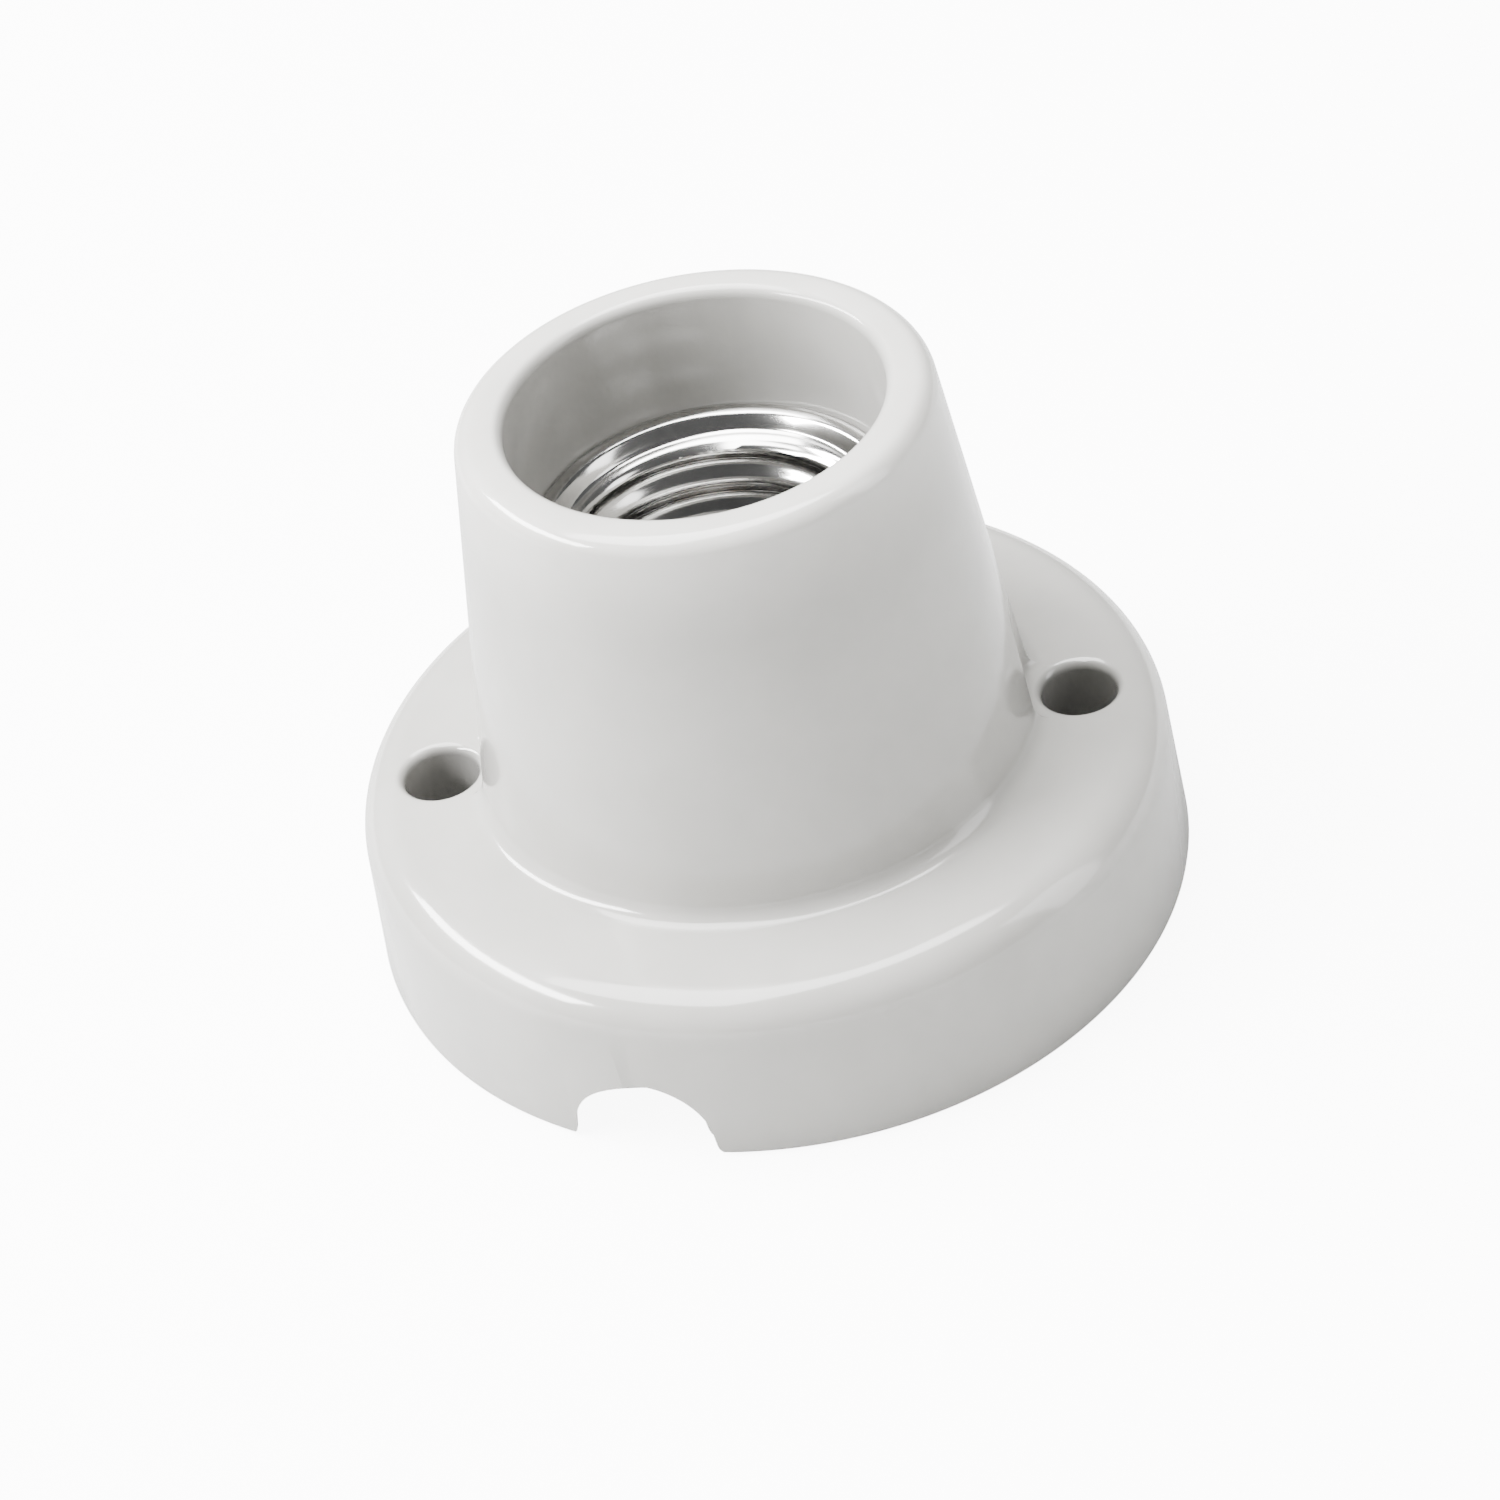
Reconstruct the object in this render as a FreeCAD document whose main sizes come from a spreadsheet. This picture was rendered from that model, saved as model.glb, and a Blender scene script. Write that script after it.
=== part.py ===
import FreeCAD, Part
import math
import os
import Sketcher

# Glazed porcelain lamp holder for an E27 lamp, fixed by two screws through its base.
# The rear face of the base lies in z = 0, the two fixing holes lie on the X axis and the
# viewer of the photograph stands on the -Y side. All sizes are in millimetres.

SIZES = {
    # porcelain, outside
    "base_radius": 37.5,
    "base_top_radius": 36.4,
    "base_height": 15.9,
    "base_top_round": 3.7,
    "base_foot_bevel": 0.6,
    "neck_root_radius": 25.2,
    "neck_root_round": 1.8,
    "mouth_radius": 20.4,
    "overall_height": 52.3,
    "lip_outer_round": 2.4,
    "lip_inner_round": 1.5,
    # porcelain, lamp well
    "mouth_bore_radius": 16.3,
    "mouth_bore_depth": 12.3,
    "shell_bore_radius": 15.2,
    "well_floor_height": 14.6,
    "island_height": 1.2,
    "island_width": 8.0,
    "island_inner_end": 2.0,
    "island_outer_end": 10.9,
    # porcelain, fixing holes
    "hole_spacing": 58.0,
    "hole_radius": 3.2,
    "hole_rim_bevel": 0.6,
    "scoop_radius": 5.2,
    "scoop_height": 7.3,
    # porcelain, rear side
    "rear_cavity_radius": 34.5,
    "rear_cavity_depth": 8.6,
    "boss_radius": 6.6,
    "rib_thickness": 2.0,
    "rib_inner_end": 7.5,
    "rib_outer_end": 25.0,
    "rib_setback": 2.0,
    "rib_turn": 225.0,
    "notch_radius": 6.1,
    "notch_height": 7.65,
    "notch_turn": -19.6,
    "floor_hole_radius": 2.1,
    "screw_recess_radius": 2.3,
    "screw_recess_depth": 4.3,
    # rolled thread shell
    "thread_pitch": 3.629,
    "thread_minor_radius": 12.2,
    "thread_depth": 1.1,
    "first_ridge_depth": 2.4,
    "shell_wall": 0.4,
    "shell_foot_height": 1.8,
    "shell_foot_lip": 0.8,
    "rim_play": 0.1,
    "rim_width": 1.5,
    "rim_cone_height": 0.5,
    "shell_lug_width": 7.0,
    "shell_lug_inner_end": 4.9,
    # screws
    "screw_radius": 1.75,
    "screw_pitch": 0.6,
    "head_radius": 3.0,
    "head_height": 2.0,
    "head_bevel": 0.5,
    "slot_width": 0.9,
    "slot_depth": 1.0,
    "screw_play": 0.05,
    "washer_play": 0.2,
    "screw_end_past_plate": 1.0,
    "shell_screw_offset": 8.0,
    "contact_screw_offset": 7.5,
    "terminal_screw_offset": 16.5,
    "terminal_screw_length": 5.4,
    "nut_flats": 6.0,
    "nut_height": 2.4,
    "spring_washer_height": 0.9,
    "spring_washer_width": 1.1,
    "spring_washer_gap": 0.8,
    # terminals
    "plate_thickness": 1.0,
    "plate_width": 7.0,
    "plate_inner_end": 4.8,
    "plate_outer_end": 21.0,
    "plate_tab_drop": 3.0,
    "clamp_thickness": 0.8,
    "clamp_length": 6.0,
    "clamp_side_play": 0.1,
    "clamp_lip_height": 0.6,
    # centre contact
    "leaf_thickness": 0.4,
    "leaf_width": 6.0,
    "leaf_root_end": 10.6,
    "leaf_bend": 4.0,
    "leaf_crest": 2.4,
    "leaf_rise": 2.6,
    "leaf_tip": 2.8,
    "leaf_curl": 1.2,
    "button_radius": 2.2,
    "button_height": 1.0,
    "button_bevel": 0.5,
    "rivet_radius": 0.9,
    "rivet_end": 0.5,
}


def make_sheet(doc):
    sheet = doc.addObject("Spreadsheet::Sheet", "Sizes")
    for row, (alias, value) in enumerate(SIZES.items(), start=1):
        sheet.set("A" + str(row), alias)
        sheet.set("B" + str(row), str(value))
        sheet.setAlias("B" + str(row), alias)
    doc.recompute()


def size(doc, expression):
    return float(doc.Sizes.evalExpression(expression))


def new_body(doc, label):
    body = doc.addObject("PartDesign::Body", label)
    body.Label = label
    return body


def origin_feature(body, role):
    return next(item for item in body.Origin.OriginFeatures if item.Role == role)


def new_sketch(body, name, role="XY_Plane", lift="0"):
    sketch = body.newObject("Sketcher::SketchObject", name)
    sketch.AttachmentSupport = [(origin_feature(body, role), "")]
    sketch.MapMode = "FlatFace"
    sketch.setExpression("AttachmentOffset.Base.z", lift)
    return sketch


def place_point(sketch, line, end, corner):
    for kind, expression in zip(("DistanceX", "DistanceY"), corner):
        value = float(sketch.evalExpression(expression))
        constraint = Sketcher.Constraint(kind, -1, 1, line, end, value)
        index = sketch.addConstraint(constraint)
        sketch.setExpression("Constraints[" + str(index) + "]", expression)


def draw_path(sketch, corners, closed=True):
    # straight lines through corners, each corner two expressions measured from the origin
    points = []
    for corner in corners:
        along, up = (float(sketch.evalExpression(item)) for item in corner)
        points.append(FreeCAD.Vector(along, up, 0))
    ends = points[1:] + points[:1] if closed else points[1:]
    first = sketch.GeometryCount
    for start, end in zip(points, ends):
        sketch.addGeometry(Part.LineSegment(start, end), False)
    last = first + len(ends) - 1
    for line in range(first, last):
        sketch.addConstraint(Sketcher.Constraint("Coincident", line, 2, line + 1, 1))
    if closed:
        sketch.addConstraint(Sketcher.Constraint("Coincident", last, 2, first, 1))
    for line, corner in enumerate(corners[: len(ends)], start=first):
        place_point(sketch, line, 1, corner)
    if not closed:
        place_point(sketch, last, 2, corners[-1])


def draw_circle(sketch, radius, centre=("0", "0")):
    middle = FreeCAD.Vector(*(float(sketch.evalExpression(item)) for item in centre), 0)
    first = Part.Circle(middle, FreeCAD.Vector(0, 0, 1), float(sketch.evalExpression(radius)))
    circle = sketch.addGeometry(first, False)
    place_point(sketch, circle, 3, centre)
    index = sketch.addConstraint(Sketcher.Constraint("Radius", circle, first.Radius))
    sketch.setExpression("Constraints[" + str(index) + "]", radius)


def add_revolution(body, sketch, kind="PartDesign::Revolution"):
    feature = body.newObject(kind, sketch.Name + "_turned")
    feature.Profile = sketch
    feature.ReferenceAxis = (sketch, ["V_Axis"])
    feature.Angle = 360
    sketch.Visibility = False
    return feature


def add_pad(body, sketch, length, kind="PartDesign::Pad", reversed_side=False, both_sides=False):
    feature = body.newObject(kind, sketch.Name + "_cut" if kind.endswith("Pocket") else sketch.Name + "_pad")
    feature.Profile = sketch
    feature.setExpression("Length", length)
    feature.Reversed = reversed_side
    if both_sides:
        feature.SideType = "Symmetric"
    return feature


def add_pocket(body, sketch, length, reversed_side=False, both_sides=False):
    return add_pad(body, sketch, length, "PartDesign::Pocket", reversed_side, both_sides)


def circle_edges(shape, radius, height):
    # names of the level circles of one radius at one height
    names = []
    for index, edge in enumerate(shape.Edges, start=1):
        curve = edge.Curve
        if curve.TypeId != "Part::GeomCircle" or abs(curve.Radius - radius) > 1e-4:
            continue
        if abs(curve.Center.z - height) < 1e-4:
            names.append("Edge" + str(index))
    return names


def round_edges(body, base, names, radius):
    fillet = body.newObject("PartDesign::Fillet", base.Name + "_round")
    fillet.Base = (base, names)
    fillet.setExpression("Radius", radius)
    return fillet


def bevel_edges(body, base, names, width):
    chamfer = body.newObject("PartDesign::Chamfer", base.Name + "_bevel")
    chamfer.Base = (base, names)
    chamfer.setExpression("Size", width)
    return chamfer


def line_edges(shape, along, height):
    # names of the straight edges that cross the XZ plane at one point
    names = []
    for index, edge in enumerate(shape.Edges, start=1):
        first, last = edge.Vertexes[0].Point, edge.Vertexes[-1].Point
        flat = abs(first.x - last.x) + abs(first.z - last.z) < 1e-6
        if flat and abs(first.x - along) + abs(first.z - height) < 1e-4:
            names.append("Edge" + str(index))
    return names


def turn_about_z(item, degrees):
    item.Placement.Rotation = FreeCAD.Rotation(FreeCAD.Vector(0, 0, 1), degrees)


def move_to(item, along="0", across="0", height="0"):
    item.setExpression("Placement.Base.x", along)
    item.setExpression("Placement.Base.y", across)
    item.setExpression("Placement.Base.z", height)


# Porcelain body: turned outside, stepped well, rear wiring space


def turn_outside(doc, body):
    sketch = new_sketch(body, "outside", "XZ_Plane")
    draw_path(sketch, [
        ("0", "0"),
        ("Sizes.base_radius", "0"),
        ("Sizes.base_top_radius", "Sizes.base_height"),
        ("Sizes.neck_root_radius", "Sizes.base_height"),
        ("Sizes.mouth_radius", "Sizes.overall_height"),
        ("0", "Sizes.overall_height"),
    ])
    outside = add_revolution(body, sketch)
    doc.recompute()
    top = size(doc, "base_height")
    upper = circle_edges(outside.Shape, size(doc, "base_top_radius"), top)
    outside = round_edges(body, outside, upper, "Sizes.base_top_round")
    doc.recompute()
    root = circle_edges(outside.Shape, size(doc, "neck_root_radius"), top)
    outside = round_edges(body, outside, root, "Sizes.neck_root_round")
    doc.recompute()
    foot = circle_edges(outside.Shape, size(doc, "base_radius"), 0)
    bevel_edges(body, outside, foot, "Sizes.base_foot_bevel")


def bore_well(doc, body):
    ledge = "Sizes.overall_height - Sizes.mouth_bore_depth"
    sketch = new_sketch(body, "well", "XZ_Plane")
    draw_path(sketch, [
        ("0", "Sizes.well_floor_height"),
        ("Sizes.shell_bore_radius", "Sizes.well_floor_height"),
        ("Sizes.shell_bore_radius", ledge),
        ("Sizes.mouth_bore_radius", ledge),
        ("Sizes.mouth_bore_radius", "Sizes.overall_height"),
        ("0", "Sizes.overall_height"),
    ])
    well = add_revolution(body, sketch, "PartDesign::Groove")
    doc.recompute()
    top = size(doc, "overall_height")
    outer = circle_edges(well.Shape, size(doc, "mouth_radius"), top)
    lip = round_edges(body, well, outer, "Sizes.lip_outer_round")
    doc.recompute()
    inner = circle_edges(lip.Shape, size(doc, "mouth_bore_radius"), top)
    round_edges(body, lip, inner, "Sizes.lip_inner_round")


def add_contact_island(body):
    half = "Sizes.island_width / 2"
    sketch = new_sketch(body, "contact_island", lift="Sizes.well_floor_height")
    draw_path(sketch, [
        ("-" + half, "-Sizes.island_inner_end"),
        ("-" + half, "-Sizes.island_outer_end"),
        (half, "-Sizes.island_outer_end"),
        (half, "-Sizes.island_inner_end"),
    ])
    add_pad(body, sketch, "Sizes.island_height")


def hollow_rear(body):
    sketch = new_sketch(body, "rear_cavity")
    draw_circle(sketch, "Sizes.rear_cavity_radius")
    add_pocket(body, sketch, "Sizes.rear_cavity_depth", reversed_side=True)


def cut_cable_notch(doc, body):
    # an arch through the rim: short straight legs under a half circle
    sketch = new_sketch(body, "cable_notch", "XZ_Plane")
    upright = FreeCAD.Vector(0, 1, 0)
    sketch.AttachmentOffset.Rotation = FreeCAD.Rotation(upright, size(doc, "notch_turn"))
    legs = "Sizes.notch_height - Sizes.notch_radius"
    draw_path(sketch, [
        ("-Sizes.notch_radius", legs),
        ("-Sizes.notch_radius", "0"),
        ("Sizes.notch_radius", "0"),
        ("Sizes.notch_radius", legs),
    ], closed=False)
    middle = FreeCAD.Vector(0, size(doc, "notch_height - notch_radius"), 0)
    circle = Part.Circle(middle, FreeCAD.Vector(0, 0, 1), size(doc, "notch_radius"))
    arch = sketch.addGeometry(Part.ArcOfCircle(circle, 0, math.pi), False)
    sketch.addConstraint(Sketcher.Constraint("Tangent", arch, 1, arch - 1, 2))
    sketch.addConstraint(Sketcher.Constraint("Coincident", arch, 2, 0, 1))
    add_pocket(body, sketch, "Sizes.base_radius", reversed_side=True)


def add_screw_bosses(body):
    sketch = new_sketch(body, "screw_bosses")
    for side in ("", "-"):
        draw_circle(sketch, "Sizes.boss_radius", (side + "Sizes.hole_spacing / 2", "0"))
    add_pad(body, sketch, "Sizes.rear_cavity_depth")


def add_barrier_rib(doc, body):
    # keeps the live and the neutral wire apart, halfway between the two terminals
    sketch = new_sketch(body, "barrier_rib", lift="Sizes.rib_setback")
    upright = FreeCAD.Vector(0, 0, 1)
    sketch.AttachmentOffset.Rotation = FreeCAD.Rotation(upright, size(doc, "rib_turn"))
    half = "Sizes.rib_thickness / 2"
    draw_path(sketch, [
        ("Sizes.rib_inner_end", "-" + half),
        ("Sizes.rib_outer_end", "-" + half),
        ("Sizes.rib_outer_end", half),
        ("Sizes.rib_inner_end", half),
    ])
    add_pad(body, sketch, "Sizes.rear_cavity_depth - Sizes.rib_setback")


def drill_fixing_holes(doc, body):
    sketch = new_sketch(body, "fixing_holes")
    for side in ("", "-"):
        draw_circle(sketch, "Sizes.hole_radius", (side + "Sizes.hole_spacing / 2", "0"))
    holes = add_pocket(body, sketch, "Sizes.overall_height", reversed_side=True)
    scoops = new_sketch(body, "screw_head_scoops", lift="Sizes.base_height + Sizes.scoop_height")
    for side in ("", "-"):
        draw_circle(scoops, "Sizes.scoop_radius", (side + "Sizes.hole_spacing / 2", "0"))
    cut = add_pocket(body, scoops, "Sizes.scoop_height")
    doc.recompute()
    rims = circle_edges(cut.Shape, size(doc, "hole_radius"), size(doc, "base_height"))
    bevel_edges(body, cut, rims, "Sizes.hole_rim_bevel")


def drill_floor(body):
    sketch = new_sketch(body, "floor_holes")
    for centre in (
        ("-Sizes.shell_screw_offset", "0"),
        ("Sizes.shell_screw_offset", "0"),
        ("0", "-Sizes.contact_screw_offset"),
    ):
        draw_circle(sketch, "Sizes.floor_hole_radius", centre)
    add_pocket(body, sketch, "Sizes.overall_height", reversed_side=True)
    recesses = new_sketch(body, "screw_recesses", lift="Sizes.rear_cavity_depth")
    for centre in (("-Sizes.terminal_screw_offset", "0"), ("0", "-Sizes.terminal_screw_offset")):
        draw_circle(recesses, "Sizes.screw_recess_radius", centre)
    add_pocket(body, recesses, "Sizes.screw_recess_depth", reversed_side=True)


def make_porcelain(doc):
    body = new_body(doc, "porcelain_body")
    turn_outside(doc, body)
    bore_well(doc, body)
    add_contact_island(body)
    hollow_rear(body)
    cut_cable_notch(doc, body)
    add_screw_bosses(body)
    add_barrier_rib(doc, body)
    drill_fixing_holes(doc, body)
    drill_floor(body)
    return body


# Thread shell: one drawn sheet, flared rim above, rolled thread, two fixing lugs at its foot


def shell_outline(doc):
    # inner face from the rim down, then the outer face one wall thickness further out
    minor = "Sizes.thread_minor_radius"
    major = "(Sizes.thread_minor_radius + Sizes.thread_depth)"
    rim_top = "(Sizes.overall_height - Sizes.mouth_bore_depth + Sizes.shell_wall)"
    first = "(" + rim_top + " - Sizes.first_ridge_depth)"
    foot = "(Sizes.well_floor_height + Sizes.shell_foot_height)"
    edge = "Sizes.mouth_bore_radius - Sizes.rim_play"
    rim_top_value = size(doc, "overall_height - mouth_bore_depth + shell_wall - first_ridge_depth")
    room = rim_top_value - size(doc, "well_floor_height + shell_foot_height")
    ridges = int(room / size(doc, "thread_pitch"))
    inner = [(edge + " - Sizes.rim_width", rim_top), (major, rim_top + " - Sizes.rim_cone_height")]
    for ridge in range(ridges):
        for radius, share in ((major, -0.5), (minor, -0.1), (minor, 0.1)):
            drop = str(round(ridge + share, 2)) + " * Sizes.thread_pitch"
            inner.append((radius, first + " - (" + drop + ")"))
    inner.append((major, first + " - " + str(ridges - 0.5) + " * Sizes.thread_pitch"))
    inner.append((major, foot))
    wall = " + Sizes.shell_wall"
    outer = [(radius + wall, height) for radius, height in reversed(inner[1:])]
    below = rim_top + " - Sizes.shell_wall"
    under = edge + " - Sizes.rim_width" + wall
    floor = "Sizes.well_floor_height"
    lip = major + " - Sizes.shell_foot_lip"
    corners = [(edge, below), (edge, rim_top)] + inner
    corners += [(major, floor + wall), (lip, floor + wall), (lip, floor), (major + wall, floor)]
    return corners + outer + [(under, below)]


def make_thread_shell(doc):
    body = new_body(doc, "thread_shell")
    section = new_sketch(body, "shell_section", "XZ_Plane")
    draw_path(section, shell_outline(doc))
    add_revolution(body, section)
    lugs = new_sketch(body, "shell_lugs", lift="Sizes.well_floor_height")
    half = "Sizes.shell_lug_width / 2"
    for side in ("", "-"):
        draw_path(lugs, [
            (side + "Sizes.shell_lug_inner_end", "-" + half),
            (side + "Sizes.thread_minor_radius", "-" + half),
            (side + "Sizes.thread_minor_radius", half),
            (side + "Sizes.shell_lug_inner_end", half),
        ])
    add_pad(body, lugs, "Sizes.shell_wall")
    holes = new_sketch(body, "shell_lug_holes", lift="Sizes.well_floor_height")
    for side in ("", "-"):
        centre = (side + "Sizes.shell_screw_offset", "0")
        draw_circle(holes, "Sizes.screw_radius + Sizes.washer_play", centre)
    add_pocket(body, holes, "Sizes.shell_wall", reversed_side=True)
    return body


# Screws, nut and washers


def make_screw(doc, label, length):
    # origin under the head, head up, shank down
    body = new_body(doc, label)
    tip = "-(" + length + ")"
    section = new_sketch(body, label + "_section", "XZ_Plane")
    draw_path(section, [
        ("0", "Sizes.head_height"),
        ("Sizes.head_radius", "Sizes.head_height"),
        ("Sizes.head_radius", "0"),
        ("Sizes.screw_radius", "0"),
        ("Sizes.screw_radius", tip + " + Sizes.screw_pitch"),
        ("Sizes.screw_radius - Sizes.screw_pitch", tip),
        ("0", tip),
    ])
    turned = add_revolution(body, section)
    doc.recompute()
    rim = circle_edges(turned.Shape, size(doc, "head_radius"), size(doc, "head_height"))
    bevel_edges(body, turned, rim, "Sizes.head_bevel")
    slot = new_sketch(body, label + "_slot", lift="Sizes.head_height")
    draw_path(slot, [
        ("-Sizes.head_radius", "-Sizes.slot_width / 2"),
        ("Sizes.head_radius", "-Sizes.slot_width / 2"),
        ("Sizes.head_radius", "Sizes.slot_width / 2"),
        ("-Sizes.head_radius", "Sizes.slot_width / 2"),
    ])
    add_pocket(body, slot, "Sizes.slot_depth")
    return body


def make_fixing_screws(doc):
    floor = "Sizes.well_floor_height - Sizes.rear_cavity_depth"
    through_plate = floor + " + Sizes.shell_wall + Sizes.plate_thickness + Sizes.screw_end_past_plate"
    through_nut = (
        floor + " + Sizes.shell_wall + Sizes.spring_washer_height"
        " + Sizes.nut_height + Sizes.screw_end_past_plate"
    )
    through_leaf = (
        floor + " + Sizes.island_height + Sizes.leaf_thickness"
        " + Sizes.plate_thickness + Sizes.screw_end_past_plate"
    )
    on_lug = "Sizes.well_floor_height + Sizes.shell_wall"
    on_leaf = "Sizes.well_floor_height + Sizes.island_height + Sizes.leaf_thickness"
    neutral = make_screw(doc, "neutral_shell_screw", through_plate)
    move_to(neutral, "-Sizes.shell_screw_offset", "0", on_lug)
    plain = make_screw(doc, "plain_shell_screw", through_nut)
    move_to(plain, "Sizes.shell_screw_offset", "0", on_lug)
    contact = make_screw(doc, "centre_contact_screw", through_leaf)
    move_to(contact, "0", "-Sizes.contact_screw_offset", on_leaf)
    return [neutral, plain, contact]


def make_nut(doc):
    body = new_body(doc, "shell_nut")
    across = "Sizes.nut_flats / sqrt(3)"
    corners = []
    for corner in range(6):
        angle = str(60 * corner)
        corners.append((across + " * cos(" + angle + ")", across + " * sin(" + angle + ")"))
    hexagon = new_sketch(body, "nut_hexagon")
    draw_path(hexagon, corners)
    add_pad(body, hexagon, "Sizes.nut_height")
    bore = new_sketch(body, "nut_bore")
    draw_circle(bore, "Sizes.screw_radius + Sizes.screw_play")
    add_pocket(body, bore, "Sizes.nut_height", reversed_side=True)
    height = "Sizes.rear_cavity_depth - Sizes.spring_washer_height - Sizes.nut_height"
    move_to(body, "Sizes.shell_screw_offset", "0", height)
    return body


def make_spring_washer(doc):
    body = new_body(doc, "shell_spring_washer")
    ring = new_sketch(body, "washer_ring")
    bore = "Sizes.screw_radius + Sizes.washer_play"
    draw_circle(ring, bore)
    draw_circle(ring, bore + " + Sizes.spring_washer_width")
    add_pad(body, ring, "Sizes.spring_washer_height")
    gap = new_sketch(body, "washer_gap")
    outer = bore + " + 2 * Sizes.spring_washer_width"
    draw_path(gap, [
        ("0", "-Sizes.spring_washer_gap / 2"),
        (outer, "-Sizes.spring_washer_gap / 2"),
        (outer, "Sizes.spring_washer_gap / 2"),
        ("0", "Sizes.spring_washer_gap / 2"),
    ])
    add_pocket(body, gap, "Sizes.spring_washer_height", reversed_side=True)
    height = "Sizes.rear_cavity_depth - Sizes.spring_washer_height"
    move_to(body, "Sizes.shell_screw_offset", "0", height)
    return body


# Terminals: folded strip, saddle washer and screw, laid out along +X and turned into place


def make_terminal_plate(doc, label, first_hole, degrees):
    body = new_body(doc, label)
    section = new_sketch(body, label + "_fold", "XZ_Plane")
    inside = "Sizes.plate_outer_end - Sizes.plate_thickness"
    draw_path(section, [
        ("Sizes.plate_inner_end", "0"),
        ("Sizes.plate_outer_end", "0"),
        ("Sizes.plate_outer_end", "-Sizes.plate_tab_drop"),
        (inside, "-Sizes.plate_tab_drop"),
        (inside, "-Sizes.plate_thickness"),
        ("Sizes.plate_inner_end", "-Sizes.plate_thickness"),
    ])
    strip = add_pad(body, section, "Sizes.plate_width", both_sides=True)
    doc.recompute()
    bend = line_edges(strip.Shape, size(doc, "plate_outer_end"), 0)
    round_edges(body, strip, bend, "Sizes.plate_thickness")
    holes = new_sketch(body, label + "_holes")
    for along in (first_hole, "Sizes.terminal_screw_offset"):
        draw_circle(holes, "Sizes.screw_radius + Sizes.screw_play", (along, "0"))
    add_pocket(body, holes, "Sizes.plate_thickness")
    move_to(body, "0", "0", "Sizes.rear_cavity_depth")
    turn_about_z(body, degrees)
    return body


def make_clamp_washer(doc, label, along, across, degrees):
    # a saddle whose lips straddle the strip, so that it can't turn with the screw
    body = new_body(doc, label)
    inner = "(Sizes.plate_width / 2 + Sizes.clamp_side_play)"
    outer = "(Sizes.plate_width / 2 + Sizes.clamp_side_play + Sizes.clamp_thickness)"
    section = new_sketch(body, label + "_fold", "YZ_Plane")
    draw_path(section, [
        (inner, "0"),
        (inner, "Sizes.clamp_lip_height"),
        (outer, "Sizes.clamp_lip_height"),
        (outer, "-Sizes.clamp_thickness"),
        ("-" + outer, "-Sizes.clamp_thickness"),
        ("-" + outer, "Sizes.clamp_lip_height"),
        ("-" + inner, "Sizes.clamp_lip_height"),
        ("-" + inner, "0"),
    ])
    add_pad(body, section, "Sizes.clamp_length", both_sides=True)
    bore = new_sketch(body, label + "_hole")
    draw_circle(bore, "Sizes.screw_radius + Sizes.washer_play")
    add_pocket(body, bore, "Sizes.clamp_thickness")
    move_to(body, along, across, "Sizes.rear_cavity_depth - Sizes.plate_thickness")
    turn_about_z(body, degrees)
    return body


def make_terminal_screw(doc, label, along, across):
    body = make_screw(doc, label, "Sizes.terminal_screw_length")
    height = "Sizes.rear_cavity_depth - Sizes.plate_thickness - Sizes.clamp_thickness"
    move_to(body, along, across, height)
    body.Placement.Rotation = FreeCAD.Rotation(FreeCAD.Vector(1, 0, 0), 180)
    return body


def make_terminals(doc):
    offset = "-Sizes.terminal_screw_offset"
    return [
        make_terminal_plate(doc, "neutral_terminal", "Sizes.shell_screw_offset", 180),
        make_clamp_washer(doc, "neutral_clamp_washer", offset, "0", 180),
        make_terminal_screw(doc, "neutral_terminal_screw", offset, "0"),
        make_terminal_plate(doc, "live_terminal", "Sizes.contact_screw_offset", -90),
        make_clamp_washer(doc, "live_clamp_washer", "0", offset, -90),
        make_terminal_screw(doc, "live_terminal_screw", "0", offset),
    ]


# Centre contact: a bent bronze leaf with a riveted button


def make_leaf(doc):
    path = doc.addObject("Sketcher::SketchObject", "leaf_path")
    draw_path(path, [
        ("Sizes.leaf_root_end", "0"),
        ("Sizes.leaf_bend", "0"),
        ("Sizes.leaf_crest", "Sizes.leaf_rise"),
        ("-Sizes.leaf_tip", "Sizes.leaf_rise"),
        ("-Sizes.leaf_tip - Sizes.leaf_curl", "Sizes.leaf_rise - Sizes.leaf_curl"),
    ], closed=False)
    upright = FreeCAD.Rotation(FreeCAD.Vector(1, 0, 0), 90)
    path.Placement.Rotation = upright
    doc.recompute()
    band = doc.addObject("Part::Offset2D", "leaf_section")
    band.Source = path
    band.setExpression("Value", "-Sizes.leaf_thickness")
    band.Fill = True
    band.Join = "Arc"
    band.Mode = "Skin"
    doc.recompute()
    strip = doc.addObject("Part::Extrusion", "leaf_strip")
    strip.Base = band
    strip.DirMode = "Custom"
    strip.Dir = FreeCAD.Vector(0, 1, 0)
    strip.setExpression("LengthFwd", "Sizes.leaf_width")
    strip.Solid = True
    strip.Symmetric = True
    leaf = strip
    for name, along, radius in (
        ("leaf_screw_hole", "Sizes.contact_screw_offset", "Sizes.screw_radius + Sizes.washer_play"),
        ("leaf_rivet_hole", "0", "Sizes.rivet_radius + Sizes.screw_play"),
    ):
        leaf = drill_leaf(doc, leaf, name, along, radius)
    leaf.Label = "centre_contact"
    move_to(leaf, "0", "0", "Sizes.well_floor_height + Sizes.island_height")
    turn_about_z(leaf, -90)
    return leaf


def drill_leaf(doc, leaf, name, along, radius):
    drill = doc.addObject("Part::Cylinder", name)
    drill.setExpression("Radius", radius)
    drill.setExpression("Height", "2 * Sizes.leaf_rise + 2 * Sizes.leaf_thickness")
    drill.setExpression("Placement.Base.x", along)
    drill.setExpression("Placement.Base.z", "-Sizes.leaf_thickness")
    cut = doc.addObject("Part::Cut", name + "_cut")
    cut.Base = leaf
    cut.Tool = drill
    return cut


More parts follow.
